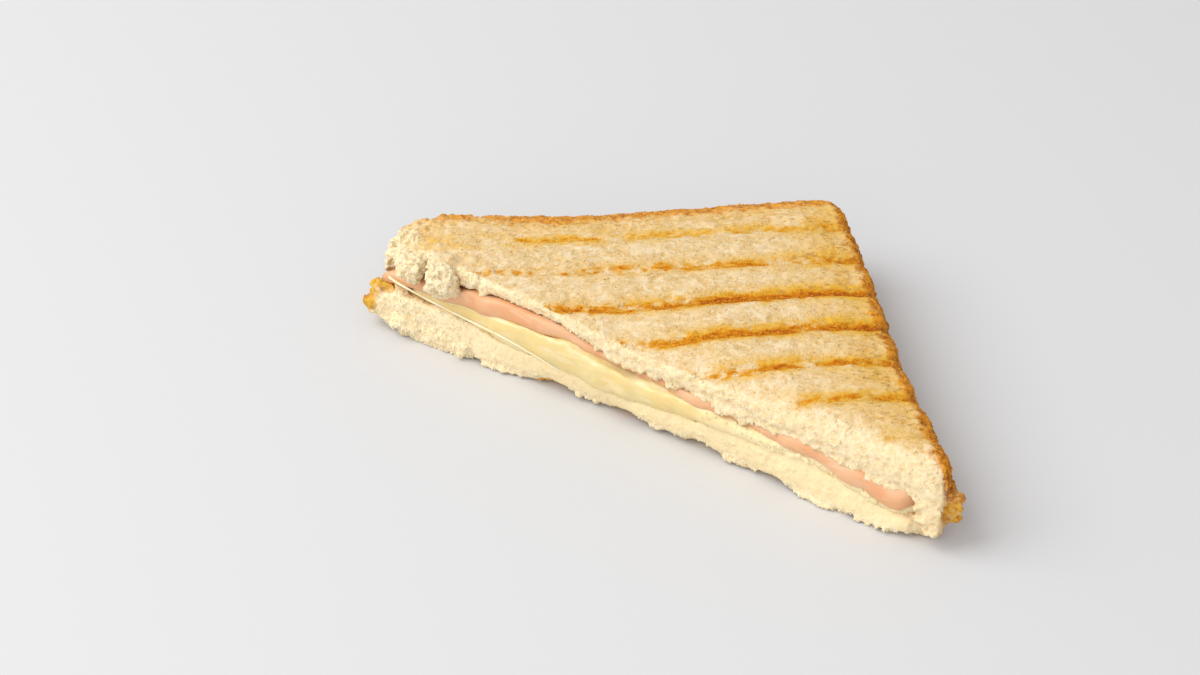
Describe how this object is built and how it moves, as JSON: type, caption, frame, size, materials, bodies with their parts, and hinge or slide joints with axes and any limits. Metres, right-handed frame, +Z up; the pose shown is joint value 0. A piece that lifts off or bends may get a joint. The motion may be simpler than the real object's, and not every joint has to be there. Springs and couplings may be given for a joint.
{
  "type": "grilled ham and cheese sandwich half",
  "caption": "Half of a pressed, grilled ham and cheese sandwich, cut from corner to corner and lying flat with its filling showing along the cut.",
  "frame": {"origin": "middle of the footprint, on the surface that the half lies on", "axes": "+X runs along the cut from the dome corner of the loaf to its front tip, +Y points from the cut back to the square corner, +Z is up through the slices"},
  "size_m": [0.1266, 0.0704, 0.0199],
  "materials": {
    "bread": "soft white crumb, pressed and toasted golden, matt, with brown grill grooves and crust",
    "cheese": "melted pale yellow cheese, satin to glossy",
    "ham": "moist cooked pink ham, satin"
  },
  "bodies": {
    "root": {"bread_bottom": "bread", "cheese": "cheese", "ham": "ham", "bread_top": "bread"}
  },
  "joints": []
}
